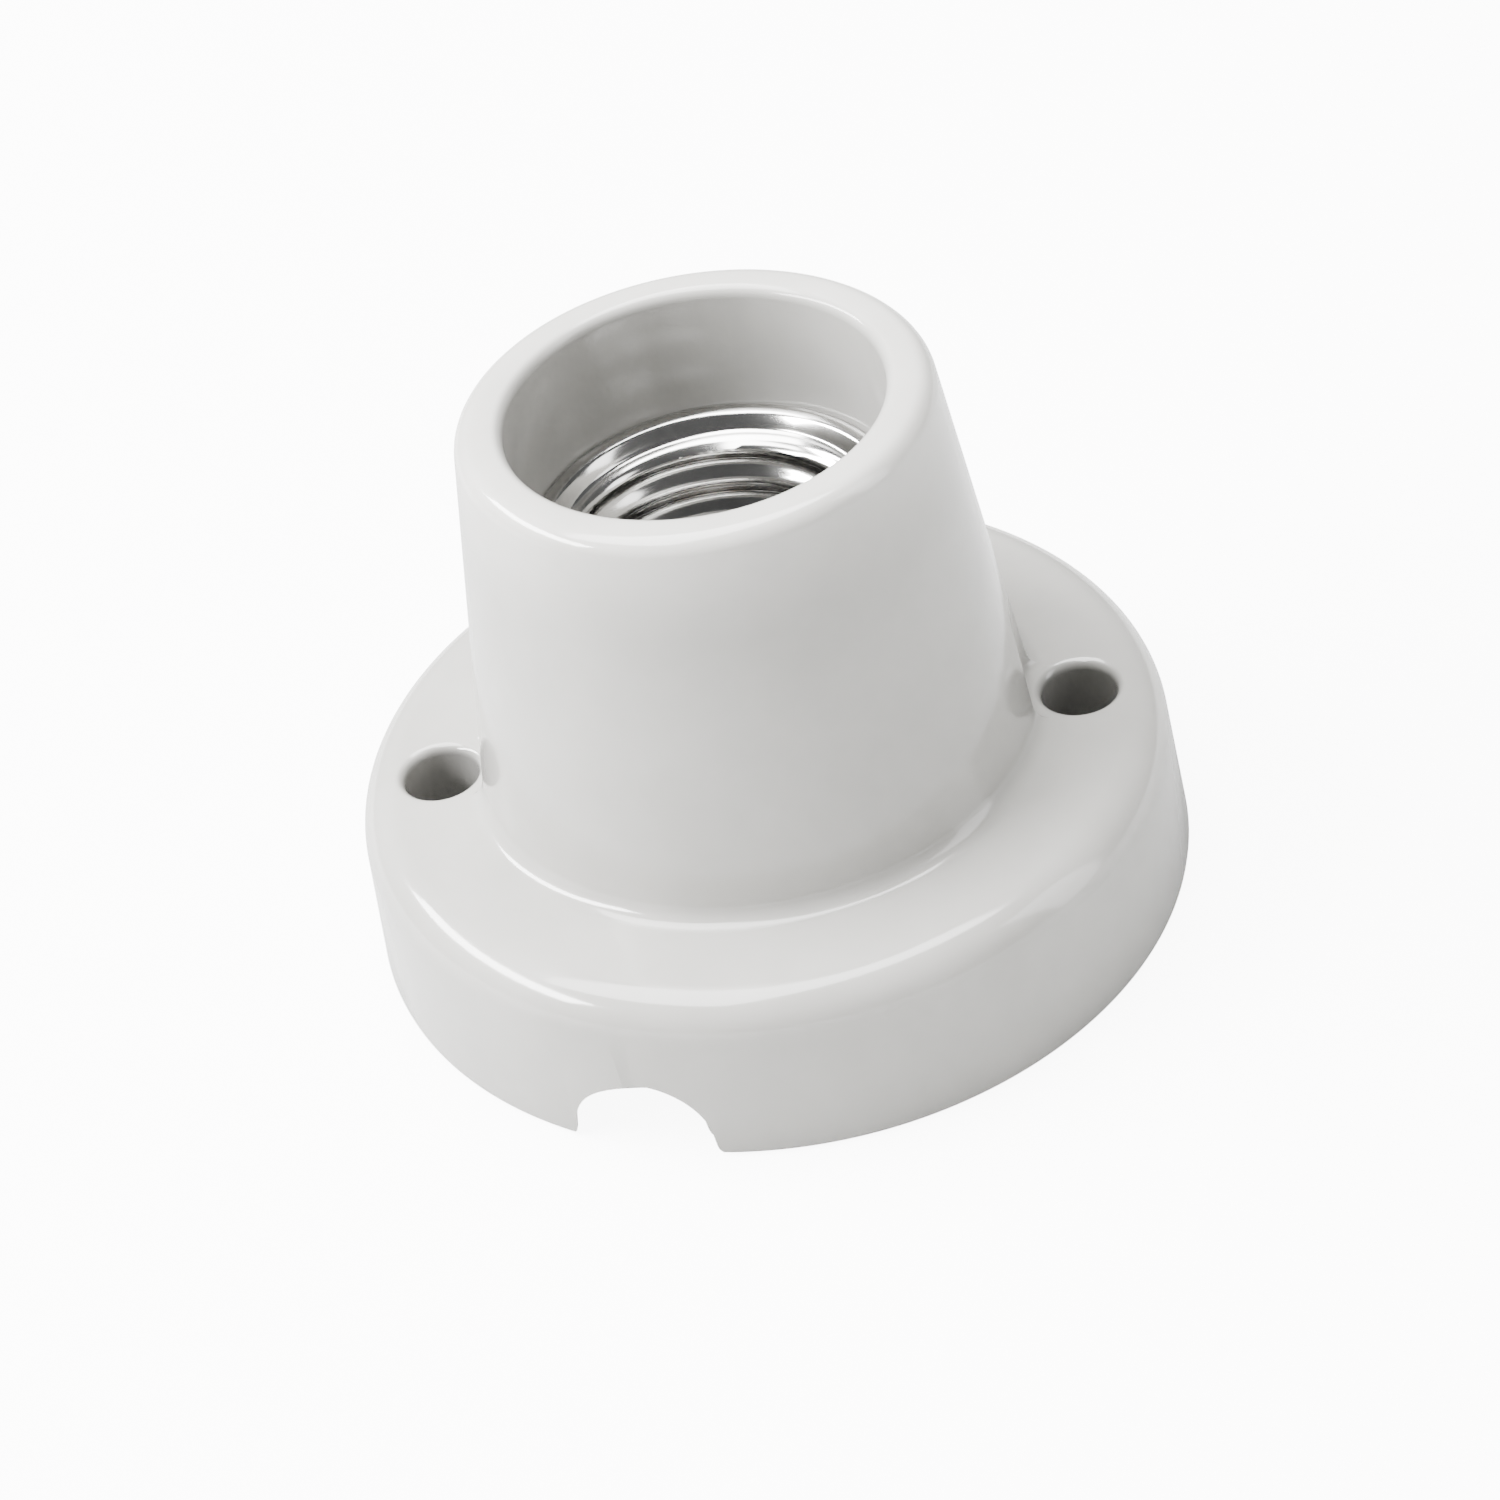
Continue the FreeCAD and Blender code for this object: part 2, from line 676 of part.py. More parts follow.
def make_button(doc):
    body = new_body(doc, "contact_button")
    shank_end = "-Sizes.leaf_thickness"
    clinch = "Sizes.rivet_radius + Sizes.rivet_end"
    clinch_end = "-Sizes.leaf_thickness - Sizes.rivet_end"
    section = new_sketch(body, "button_section", "XZ_Plane")
    draw_path(section, [
        ("0", "Sizes.button_height"),
        ("Sizes.button_radius", "Sizes.button_height"),
        ("Sizes.button_radius", "0"),
        ("Sizes.rivet_radius", "0"),
        ("Sizes.rivet_radius", shank_end),
        (clinch, shank_end),
        (clinch, clinch_end),
        ("0", clinch_end),
    ])
    turned = add_revolution(body, section)
    doc.recompute()
    rim = circle_edges(turned.Shape, size(doc, "button_radius"), size(doc, "button_height"))
    bevel_edges(body, turned, rim, "Sizes.button_bevel")
    move_to(body, "0", "0", (
        "Sizes.well_floor_height + Sizes.island_height + Sizes.leaf_rise + Sizes.leaf_thickness"
    ))
    return body


def check_document(doc):
    doc.recompute()
    for item in doc.Objects:
        if "Invalid" in item.State or "Error" in item.State:
            raise RuntimeError(item.Name + " failed: " + str(item.State))


def write_steps(pieces):
    os.makedirs("parts", exist_ok=True)
    for piece in pieces:
        shape = piece.Shape
        if shape.isNull() or not shape.isValid() or len(shape.Solids) < 1:
            raise RuntimeError(piece.Label + " has no valid solid")
        shape.exportStep("parts/" + piece.Label + ".step")
        print(piece.Label, "volume", round(shape.Volume, 1), "solids", len(shape.Solids))


def main():
    doc = FreeCAD.newDocument("lamp_holder")
    make_sheet(doc)
    pieces = [make_porcelain(doc), make_thread_shell(doc)]
    pieces += make_fixing_screws(doc)
    pieces += [make_nut(doc), make_spring_washer(doc)]
    pieces += make_terminals(doc)
    pieces += [make_leaf(doc), make_button(doc)]
    check_document(doc)
    write_steps(pieces)


main()
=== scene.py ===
import bpy
import math
from mathutils import Matrix, Vector


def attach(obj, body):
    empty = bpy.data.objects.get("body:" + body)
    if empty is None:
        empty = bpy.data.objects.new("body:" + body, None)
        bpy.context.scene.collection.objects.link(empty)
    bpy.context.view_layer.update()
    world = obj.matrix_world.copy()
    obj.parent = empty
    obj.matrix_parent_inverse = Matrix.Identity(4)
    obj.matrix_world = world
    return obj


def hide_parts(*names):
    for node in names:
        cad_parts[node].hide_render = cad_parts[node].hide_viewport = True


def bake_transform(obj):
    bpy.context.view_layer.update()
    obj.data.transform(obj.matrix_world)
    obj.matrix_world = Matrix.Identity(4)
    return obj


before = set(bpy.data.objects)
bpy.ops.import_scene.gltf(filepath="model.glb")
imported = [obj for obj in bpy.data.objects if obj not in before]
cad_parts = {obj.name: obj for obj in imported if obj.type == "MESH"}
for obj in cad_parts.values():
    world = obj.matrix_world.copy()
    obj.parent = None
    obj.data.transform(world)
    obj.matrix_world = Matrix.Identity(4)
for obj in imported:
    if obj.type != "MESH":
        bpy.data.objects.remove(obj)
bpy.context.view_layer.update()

mm = 0.001
tiny = 1e-6              # metres: points nearer than this are taken as one


def clearSelection():
    if bpy.context.object and bpy.context.object.mode != "OBJECT":
        bpy.ops.object.mode_set(mode="OBJECT")
    bpy.ops.object.select_all(action="DESELECT")


def pick(piece):
    clearSelection()
    piece.select_set(True)
    bpy.context.view_layer.objects.active = piece


def newMaterial(name):
    material = bpy.data.materials.new(name)
    material.use_nodes = True
    nodes = material.node_tree.nodes
    return material, nodes, material.node_tree.links, nodes["Principled BSDF"]


# Camera: fitted to the outline of the base, the neck and the mouth

camera = {
    "yaw": -5.94,            # degrees about the object's axis
    "elevation": 39.15,
    "roll": -11.34,
    "distance": 350.35,      # mm to the base's centre, along the view
    "scale": 10.814,         # pixels to a mm at that distance, in the 1500 pixel frame
    "centreX": 783.44,       # where the base's centre falls, in the 1500 pixel frame
    "centreY": 860.85,
    "frame": 1500,
    "sensor": 36.0,          # mm
    "clip": (0.01, 20.0),    # metres
}


def addCamera(c):
    yaw = Matrix.Rotation(math.radians(c["yaw"]), 3, "Z")
    tilt = Matrix.Rotation(math.radians(c["elevation"]), 3, "X")
    roll = Matrix.Rotation(math.radians(c["roll"]), 3, "Z")
    look = Matrix(((1, 0, 0), (0, 0, -1), (0, 1, 0)))    # right, down, forward
    rows = roll @ tilt @ look @ yaw
    right, down, forward = rows[0], rows[1], rows[2]
    half = c["frame"] / 2
    aside = (c["centreX"] - half) / c["scale"]
    below = (c["centreY"] - half) / c["scale"]
    place = -(right * aside + down * below + forward * c["distance"]) * mm
    data = bpy.data.cameras.new("photoCamera")
    data.sensor_width = c["sensor"]
    data.lens = c["sensor"] * c["scale"] * c["distance"] / c["frame"]
    data.clip_start, data.clip_end = c["clip"]
    view = bpy.data.objects.new("photoCamera", data)
    turn = Matrix((right, -down, -forward)).transposed()
    view.matrix_world = Matrix.Translation(place) @ turn.to_4x4()
    bpy.context.scene.collection.objects.link(view)
    bpy.context.scene.camera = view


addCamera(camera)
print("camera placed")


# Studio: a pale floor, a key from the left, a soft light above and a weak fill on the right

studio = {
    "floorSize": 6.0,
    "floorHeight": -0.00002,          # metres: just under the base's rim
    "floorColor": (0.57, 0.57, 0.565, 1),
    "floorRough": 0.9,
    "floorGloss": 0.1,
    "floorGlow": 9.0,                 # the table is lit through from below, for the camera alone
    "worldColor": (0.97, 0.985, 1.0, 1),
    "worldStrength": 0.137,
    "aim": (0, 0, 0.03),              # where the lamps point, metres
    "lamps": {                        # place, width and height in metres, and power in watts
        "keyLight": ((-0.70, 0.02, 0.60), (0.90, 0.18), 35.8),
        "topLight": ((-0.14, 0.13, 0.94), (0.90, 0.60), 33.0),
        "fillLight": ((0.88, -0.15, 0.42), (0.30, 0.90), 4.4),
    },
}


def addLamp(name, place, size, power, target):
    data = bpy.data.lights.new(name, "AREA")
    data.shape = "RECTANGLE"
    data.size, data.size_y = size
    data.energy = power
    lamp = bpy.data.objects.new(name, data)
    lamp.location = place
    aim = Vector(target) - Vector(place)
    lamp.rotation_euler = aim.to_track_quat("-Z", "Y").to_euler()
    bpy.context.scene.collection.objects.link(lamp)


def addStudio(s):
    clearSelection()
    bpy.ops.mesh.primitive_plane_add(size=s["floorSize"], location=(0, 0, s["floorHeight"]))
    floor = bpy.context.object
    floor.name = "floor"
    bpy.ops.object.transform_apply(location=True, rotation=True, scale=True)
    paint, nodes, links, shader = newMaterial("paleFloor")
    shader.inputs["Base Color"].default_value = s["floorColor"]
    shader.inputs["Roughness"].default_value = s["floorRough"]
    shader.inputs["Specular IOR Level"].default_value = s["floorGloss"]
    glow = nodes.new("ShaderNodeEmission")
    glow.inputs["Strength"].default_value = s["floorGlow"]
    seen = nodes.new("ShaderNodeLightPath")
    lit = nodes.new("ShaderNodeAddShader")
    mix = nodes.new("ShaderNodeMixShader")
    links.new(shader.outputs["BSDF"], lit.inputs[0])
    links.new(glow.outputs["Emission"], lit.inputs[1])
    links.new(seen.outputs["Is Camera Ray"], mix.inputs["Fac"])
    links.new(shader.outputs["BSDF"], mix.inputs[1])
    links.new(lit.outputs["Shader"], mix.inputs[2])
    links.new(mix.outputs["Shader"], nodes["Material Output"].inputs["Surface"])
    floor.data.materials.append(paint)
    world = bpy.data.worlds.new("studio")
    world.use_nodes = True
    back = world.node_tree.nodes["Background"]
    back.inputs["Color"].default_value = s["worldColor"]
    back.inputs["Strength"].default_value = s["worldStrength"]
    bpy.context.scene.world = world
    for name, (place, size, power) in s["lamps"].items():
        addLamp(name, place, size, power, s["aim"])


addStudio(studio)
print("studio ready")


# Materials

def objectNoise(nodes, links, scale, detail, roughness=0.5):
    place = nodes.new("ShaderNodeTexCoord")
    noise = nodes.new("ShaderNodeTexNoise")
    noise.inputs["Scale"].default_value = scale
    noise.inputs["Detail"].default_value = detail
    noise.inputs["Roughness"].default_value = roughness
    links.new(place.outputs["Object"], noise.inputs["Vector"])
    return noise


def ramp(nodes, links, source, stops):
    scale = nodes.new("ShaderNodeValToRGB")
    for element, (position, color) in zip(scale.color_ramp.elements, stops):
        element.position = position
        element.color = color
    links.new(source, scale.inputs["Fac"])
    return scale


def addBump(nodes, links, noise, shader, strength, distance):
    bump = nodes.new("ShaderNodeBump")
    bump.inputs["Strength"].default_value = strength
    bump.inputs["Distance"].default_value = distance
    links.new(noise.outputs["Fac"], bump.inputs["Height"])
    links.new(bump.outputs["Normal"], shader.inputs["Normal"])


def varyRough(nodes, links, noise, shader, low, high):
    rough = nodes.new("ShaderNodeMapRange")
    rough.inputs["To Min"].default_value = low
    rough.inputs["To Max"].default_value = high
    links.new(noise.outputs["Fac"], rough.inputs["Value"])
    links.new(rough.outputs["Result"], shader.inputs["Roughness"])


glaze = {
    "light": (0.47, 0.462, 0.44, 1),
    "dark": (0.41, 0.403, 0.382, 1),
    "mottle": (60.0, 4, 0.6),           # scale, detail and roughness of the noise
    "mottleFrom": 0.3,
    "mottleTo": 0.7,
    "roughLow": 0.10,
    "roughHigh": 0.17,
    "peel": (180, 2, 0.4),
    "peelStrength": 0.25,
    "peelDepth": 0.00004,
    "bore": (0.0, 0.0, 16.6, 0.5, 12.0),    # axis, radius, softness and foot, mm
    "gloss": [                          # each socket's value in the bore, and outside it
        ("Specular IOR Level", 0.12, 0.55),
        ("Coat Weight", 0.0, 0.4),
    ],
    "coatRough": 0.05,
    "lip": (42.0, 53.5, 1.0, 1.42),     # painted light: two heights, mm, and how far the glaze colour is lightened at each, standing in for the light on the lip
    "inside": [                         # painted shade: as the bore above, and how far the wall's colour is darkened there
        (0.0, 0.0, 16.6, 0.5, 12.0, 0.52),
        (-29.0, 0.0, 3.75, 0.3, 0.5, 0.42),
        (29.0, 0.0, 3.75, 0.3, 0.5, 0.50),
    ],
}


def shadeByHeight(nodes, links, color, low, high, below, above):
    # multiplies the colour by one value at a lower height, and by another at a higher one
    place = nodes.new("ShaderNodeTexCoord")
    split = nodes.new("ShaderNodeSeparateXYZ")
    fade = nodes.new("ShaderNodeMapRange")
    fade.inputs["From Min"].default_value = low * mm
    fade.inputs["From Max"].default_value = high * mm
    fade.inputs["To Min"].default_value = below
    fade.inputs["To Max"].default_value = above
    fade.interpolation_type = "SMOOTHSTEP"
    shade = nodes.new("ShaderNodeVectorMath")
    shade.operation = "SCALE"
    links.new(place.outputs["Object"], split.inputs[0])
    links.new(split.outputs["Z"], fade.inputs["Value"])
    links.new(color, shade.inputs[0])
    links.new(fade.outputs["Result"], shade.inputs["Scale"])
    return shade.outputs["Vector"]


def nearAxis(nodes, links, x, y, radius, soft, foot, inside, outside):
    # one value within a distance of an upright axis, above its foot, and another beyond it:
    # below the foot, the distance counts as a metre
    place = nodes.new("ShaderNodeTexCoord")
    shift = nodes.new("ShaderNodeVectorMath")
    shift.operation = "SUBTRACT"
    shift.inputs[1].default_value = (x * mm, y * mm, 0)
    flat = nodes.new("ShaderNodeVectorMath")
    flat.operation = "MULTIPLY"
    flat.inputs[1].default_value = (1, 1, 0)
    away = nodes.new("ShaderNodeVectorMath")
    away.operation = "LENGTH"
    fade = nodes.new("ShaderNodeMapRange")
    fade.inputs["From Min"].default_value = (radius - soft) * mm
    fade.inputs["From Max"].default_value = (radius + soft) * mm
    fade.inputs["To Min"].default_value = inside
    fade.inputs["To Max"].default_value = outside
    links.new(place.outputs["Object"], shift.inputs[0])
    links.new(shift.outputs["Vector"], flat.inputs[0])
    links.new(flat.outputs["Vector"], away.inputs[0])
    split = nodes.new("ShaderNodeSeparateXYZ")
    below = nodes.new("ShaderNodeMath")
    below.operation = "LESS_THAN"
    below.inputs[1].default_value = foot * mm
    reach = nodes.new("ShaderNodeMath")
    links.new(place.outputs["Object"], split.inputs[0])
    links.new(split.outputs["Z"], below.inputs[0])
    links.new(away.outputs["Value"], reach.inputs[0])
    links.new(below.outputs["Value"], reach.inputs[1])
    links.new(reach.outputs["Value"], fade.inputs["Value"])
    return fade.outputs["Result"]


def paintShadeInside(nodes, links, color, x, y, radius, soft, foot, share):
    # painted shade: the colour within an upright bore, above its foot, is darkened where shade
    # falls
    dim = nodes.new("ShaderNodeVectorMath")
    dim.operation = "SCALE"
    links.new(color, dim.inputs[0])
    near = nearAxis(nodes, links, x, y, radius, soft, foot, share, 1.0)
    links.new(near, dim.inputs["Scale"])
    return dim.outputs["Vector"]


def makeGlaze(g):
    material, nodes, links, shader = newMaterial("glazedPorcelain")
    cloud = objectNoise(nodes, links, *g["mottle"])
    stops = [(g["mottleFrom"], g["dark"]), (g["mottleTo"], g["light"])]
    tint = ramp(nodes, links, cloud.outputs["Fac"], stops)
    # painted light: the glaze colour is made lighter towards the lip
    color = shadeByHeight(nodes, links, tint.outputs["Color"], *g["lip"])
    # painted shade: the colour is darkened in the bore and in the two screw holes
    for wall in g["inside"]:
        color = paintShadeInside(nodes, links, color, *wall)
    links.new(color, shader.inputs["Base Color"])
    varyRough(nodes, links, cloud, shader, g["roughLow"], g["roughHigh"])
    addBump(nodes, links, objectNoise(nodes, links, *g["peel"]), shader, g["peelStrength"],
            g["peelDepth"])
    for socket, inside, outside in g["gloss"]:
        links.new(nearAxis(nodes, links, *g["bore"], inside, outside), shader.inputs[socket])
    shader.inputs["Coat Roughness"].default_value = g["coatRough"]
    return material


metal = {
    "cloud": (5, 0.6),              # detail and roughness of the noise
    "cloudFrom": 0.35,
    "cloudTo": 0.65,
    "roughLow": 0.7,                # shares of a finish's own roughness
    "roughHigh": 1.5,
    "grainFiner": 6,                # how much finer the grain is than the cloud
    "grainDetail": 3,
    "grainStrength": 0.3,
}

metalFinishes = {
    "shell": {
        "name": "nickelShell", "light": (0.72, 0.715, 0.70, 1), "dark": (0.56, 0.555, 0.54, 1),
        "rough": 0.13, "grainDepth": 0.00001, "scale": 120,
        "dull": (24.0, 39.5, 0.30, 1.0),    # painted shade: darker deep in the well
    },
    "bronze": {
        "name": "bronzeLeaf", "light": (0.56, 0.50, 0.44, 1), "dark": (0.41, 0.37, 0.32, 1),
        "rough": 0.34, "grainDepth": 0.00002, "scale": 200,
    },
    "contact": {
        "name": "contactRivet", "light": (0.80, 0.79, 0.76, 1), "dark": (0.62, 0.61, 0.59, 1),
        "rough": 0.25, "grainDepth": 0.00002, "scale": 300,
    },
    "screw": {
        "name": "platedScrew", "light": (0.66, 0.66, 0.65, 1), "dark": (0.48, 0.48, 0.47, 1),
        "rough": 0.32, "grainDepth": 0.00003, "scale": 300,
    },
    "brass": {
        "name": "terminalBrass", "light": (0.80, 0.60, 0.28, 1), "dark": (0.62, 0.44, 0.18, 1),
        "rough": 0.32, "grainDepth": 0.00003, "scale": 200,
    },
}


def makeMetal(m, f):
    material, nodes, links, shader = newMaterial(f["name"])
    cloud = objectNoise(nodes, links, f["scale"], *m["cloud"])
    stops = [(m["cloudFrom"], f["dark"]), (m["cloudTo"], f["light"])]
    color = ramp(nodes, links, cloud.outputs["Fac"], stops).outputs["Color"]
    # painted shade: the shell's colour is darkened deep in the well
    if "dull" in f:
        color = shadeByHeight(nodes, links, color, *f["dull"])
    links.new(color, shader.inputs["Base Color"])
    low, high = f["rough"] * m["roughLow"], f["rough"] * m["roughHigh"]
    varyRough(nodes, links, cloud, shader, low, high)
    grain = objectNoise(nodes, links, f["scale"] * m["grainFiner"], m["grainDetail"])
    addBump(nodes, links, grain, shader, m["grainStrength"], f["grainDepth"])
    shader.inputs["Metallic"].default_value = 1.0
    return material


finishes = {"glaze": makeGlaze(glaze)}
for finish, values in metalFinishes.items():
    finishes[finish] = makeMetal(metal, values)

nodeFinish = {
    "porcelain_body": "glaze",
    "thread_shell": "shell",
    "centre_contact": "bronze",
    "contact_button": "contact",
    "neutral_shell_screw": "screw",
    "plain_shell_screw": "screw",
    "centre_contact_screw": "screw",
    "shell_nut": "screw",
    "shell_spring_washer": "screw",
    "neutral_terminal": "brass",
    "live_terminal": "brass",
    "neutral_clamp_washer": "screw",
    "live_clamp_washer": "screw",
    "neutral_terminal_screw": "screw",
    "live_terminal_screw": "screw",
}


def dressNodes():
    for node, finish in nodeFinish.items():
        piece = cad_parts[node]
        for slot in piece.material_slots:
            slot.material = finishes[finish]
        if not piece.material_slots:
            piece.data.materials.append(finishes[finish])


dressNodes()
print("nodes dressed")


# Modelling helpers

tooling = {
    "turn": 1.7,                    # degrees a tool is turned, to keep its edges off the body's
    "overlap": 1,                   # mm a tool reaches past the surface it cuts or joins
    "flare": 0.05,                  # mm a tool stands out past the end of its round
    "roundSteps": 4,                # facets to a mm of a corner's round
    "fewestSteps": 3,
    "boreSides": 48,
}


def addPiece(name):
    piece = bpy.context.object
    piece.name = name
    piece.data.name = name
    return piece


def settle(piece):
    pick(piece)
    bpy.ops.object.transform_apply(location=True, rotation=True, scale=True)


def turnPiece(piece, degrees):
    # about the object's upright axis
    piece.rotation_euler = (0, 0, math.radians(degrees))
    settle(piece)


def movePiece(piece, place):
    piece.location = [along * mm for along in place]
    settle(piece)


def cleanMesh(piece):
    pick(piece)
    bpy.ops.object.mode_set(mode="EDIT")
    bpy.ops.mesh.select_all(action="SELECT")
    bpy.ops.mesh.remove_doubles(threshold=tiny)
    bpy.ops.mesh.normals_make_consistent(inside=False)
    bpy.ops.object.mode_set(mode="OBJECT")


def dropSlivers(piece):
    # takes out the edges and faces of no size that a cut can leave
    pick(piece)
    bpy.ops.object.mode_set(mode="EDIT")
    bpy.ops.mesh.select_all(action="SELECT")
    bpy.ops.mesh.dissolve_degenerate(threshold=tiny)
    bpy.ops.mesh.delete_loose()
    bpy.ops.object.mode_set(mode="OBJECT")


def selectVerts(piece, test):
    # called in edit mode; leaves only the vertices that pass the test selected
    bpy.ops.mesh.select_all(action="DESELECT")
    bpy.ops.object.mode_set(mode="OBJECT")
    for vert in piece.data.vertices:
        vert.select = test(vert.co)
    bpy.ops.object.mode_set(mode="EDIT")


def selectEdges(piece, test):
    # called in edit mode; the test is given an edge's two ends
    bpy.ops.mesh.select_all(action="DESELECT")
    bpy.ops.object.mode_set(mode="OBJECT")
    verts = piece.data.vertices
    for edge in piece.data.edges:
        edge.select = test(*(verts[index].co for index in edge.vertices))
    bpy.ops.object.mode_set(mode="EDIT")


def useModifier(piece, kind, **values):
    pick(piece)
    step = piece.modifiers.new(kind.title(), kind)
    for key, value in values.items():
        setattr(step, key, value)
    bpy.ops.object.modifier_apply(modifier=step.name)


def softenEdges(piece, width, segments, angle):
    # rounds the edges that are sharper than the angle, in degrees
    useModifier(piece, "BEVEL", width=width * mm, segments=segments, limit_method="ANGLE",
                angle_limit=math.radians(angle))


def combine(piece, tool, operation):
    pick(piece)
    useModifier(piece, "BOOLEAN", object=tool, operation=operation, solver="EXACT")
    data = tool.data
    bpy.data.objects.remove(tool)
    bpy.data.meshes.remove(data)


def finishPiece(piece, finish, node, body, sharpest=35):
    pick(piece)
    bpy.ops.object.shade_smooth_by_angle(angle=math.radians(sharpest))
    piece.data.materials.clear()
    piece.data.materials.append(finishes[finish])
    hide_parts(node)
    if body:
        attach(piece, body)
    print(piece.name, len(piece.data.polygons), "faces")


def addRod(radius, low, high, place=(0, 0), sides=tooling["boreSides"]):
    clearSelection()
    middle = (place[0] * mm, place[1] * mm, (low + high) / 2 * mm)
    bpy.ops.mesh.primitive_cylinder_add(vertices=sides, radius=radius * mm,
                                        depth=(high - low) * mm, location=middle)
    rod = bpy.context.object
    settle(rod)
    return rod


def addBlock(sizes, middle, azimuth=0.0):
    clearSelection()
    bpy.ops.mesh.primitive_cube_add(size=1)
    block = bpy.context.object
    block.scale = [side * mm for side in sizes]
    movePiece(block, middle)
    turnPiece(block, azimuth)
    return block


def drawPath(name, section):
    # a chain of edges in the XZ plane through the section's points, each one a distance, a height
    # and the round at that corner; it stays in edit mode with the whole path selected
    clearSelection()
    bpy.ops.mesh.primitive_plane_add(size=mm)
    piece = addPiece(name)
    bpy.ops.object.mode_set(mode="EDIT")
    bpy.ops.mesh.select_all(action="SELECT")
    bpy.ops.mesh.merge(type="CENTER")
    first = section[0]
    bpy.ops.transform.translate(value=(first[0] * mm, 0, first[1] * mm))
    for here, there in zip(section, section[1:]):
        step = ((there[0] - here[0]) * mm, 0, (there[1] - here[1]) * mm)
        bpy.ops.mesh.extrude_region_move(TRANSFORM_OT_translate={"value": step})
    for radius, height, rounding in section[1:-1]:
        corner = Vector((radius * mm, 0, height * mm))
        if rounding:
            selectVerts(piece, lambda co: (co - corner).length < tiny)
            reach = cornerReach(section, radius, height, rounding)
            steps = max(tooling["fewestSteps"], round(rounding * tooling["roundSteps"]))
            bpy.ops.mesh.bevel(offset=reach * mm, segments=steps, affect="VERTICES")
    bpy.ops.mesh.select_all(action="SELECT")
    return piece


def cornerReach(section, radius, height, rounding):
    # how far along its two sides a corner's round begins
    places = [Vector(point[:2]) for point in section]
    index = places.index(Vector((radius, height)))
    before = (places[index - 1] - places[index]).normalized()
    after = (places[index + 1] - places[index]).normalized()
    half = before.angle(after) / 2
    return rounding / math.tan(half)


def turnSection(name, section, turns):
    piece = drawPath(name, section)
    bpy.ops.mesh.spin(steps=turns, angle=math.tau, center=(0, 0, 0), axis=(0, 0, 1))
    bpy.ops.object.mode_set(mode="OBJECT")
    cleanMesh(piece)
    return piece


def turnTool(section, place, turns):
    tool = turnSection("tool", section, turns)
    tool.rotation_euler = (0, 0, math.radians(tooling["turn"]))
    movePiece(tool, (*place, 0))
    return tool


# Porcelain body: turned from its section, joined with its bosses, rib and island, then cut;
# each tool brings its own round, as the glaze leaves it

porcelain = {
    "section": [                    # radius, height, and the round at the corner, mm
        (34.5, 8.6, 1.0),
        (34.5, 0.0, 0.5),
        (37.5, 0.0, 0.7),
        (36.4, 15.9, 3.7),
        (25.2, 15.9, 1.8),
        (24.791, 19.0, 0),          # rings on the neck's slope keep the faces at the scoops short
        (24.396, 22.0, 0),
        (24.0, 25.0, 0),
        (23.789, 26.6, 0),
        (23.341, 30.0, 0),
        (20.4, 52.3, 1.8),
        (16.3, 52.3, 1.0),
        (16.3, 40.0, 0.2),
        (15.2, 40.0, 0.2),
        (15.2, 14.6, 0.3),
    ],
    "cavityTop": 8.6,
    "wellFloor": 14.6,
    "turns": 256,
    "seamAzimuth": 64.3,            # where its first seam stands, clear of the tools' edges
    "toolTurns": 72,
    "bossTurns": 96,
    "boreTurns": 48,
    "bossRadius": 6.6,
    "bossFoot": 0.05,
    "bossFillet": 0.4,
    "holeSpacing": 58.0,
    "holeRadius": 3.4,
    "holeRound": 0.9,               # round where the hole meets the upper face
    "baseTop": 15.9,
    "scoopRadius": 5.6,
    "scoopHeight": 10.2,
    "scoopRound": 1.0,              # round at the scoop's foot
    "scoopTopRound": 0.6,
    "notchAzimuth": -110.8,
    "notchHalf": 5.0,               # half its width
    "notchHeight": 6.55,
    "notchArch": 0.996,             # share of the half width that the arch's round takes
    "notchLean": 0.9,               # how much wider the arch stands at its feet
    "notchFoot": 1.2,               # round at the arch's feet
    "notchSpread": 1.5,             # how far the feet run out, in rounds
    "notchRound": 0.9,              # round of its edge on the outer wall
    "notchEnd": 37.0,               # how far out that round ends
    "notchReach": 3,                # how much further the tool goes
    "notchStart": 30.0,
    "notchBack": 34.6,              # where the inner wall begins
    "notchInner": 0.4,              # round of its edge on the inner wall
    "notchSteps": 6,                # facets of either round
    "notchSlant": 15.0,             # the arch is cut a little aslant through the wall
    "ribAzimuth": 225.0,
    "ribFrom": 7.5,
    "ribTo": 25.0,
    "ribWidth": 2.0,
    "ribFoot": 2.0,
    "island": (8.0, 2.0, 10.9, 1.2),    # width, inner end, outer end, height
    "floorHoles": [(-8.0, 0.0), (8.0, 0.0), (0.0, -7.5)],
    "floorHoleRadius": 2.1,
    "floorHoleReach": 3,            # how far above the floor they are cut, through the island
    "recesses": [(-16.5, 0.0), (0.0, -16.5)],
    "recessRadius": 2.3,
    "recessDepth": 4.3,
    "edge": 0.35,                   # round on the edges underneath
    "edgeSteps": 3,
    "edgeAngle": 40,
    "hair": 0.01,                   # keeps two flat faces from lying in one plane
}


def makePorcelain(p):
    # the order counts: scoops and screw holes come last, so that no cut meets their rounds
    section = [(0, p["cavityTop"], 0)] + p["section"] + [(0, p["wellFloor"], 0)]
    body = turnSection("glazedBody", section, p["turns"])
    turnPiece(body, p["seamAzimuth"])
    addBosses(body, p)
    addRib(body, p)
    addIsland(body, p)
    cutNotch(body, p)
    cutFloor(body, p)
    cutFixings(body, p)
    cleanMesh(body)
    finishPiece(body, "glaze", "porcelain_body", "holder")


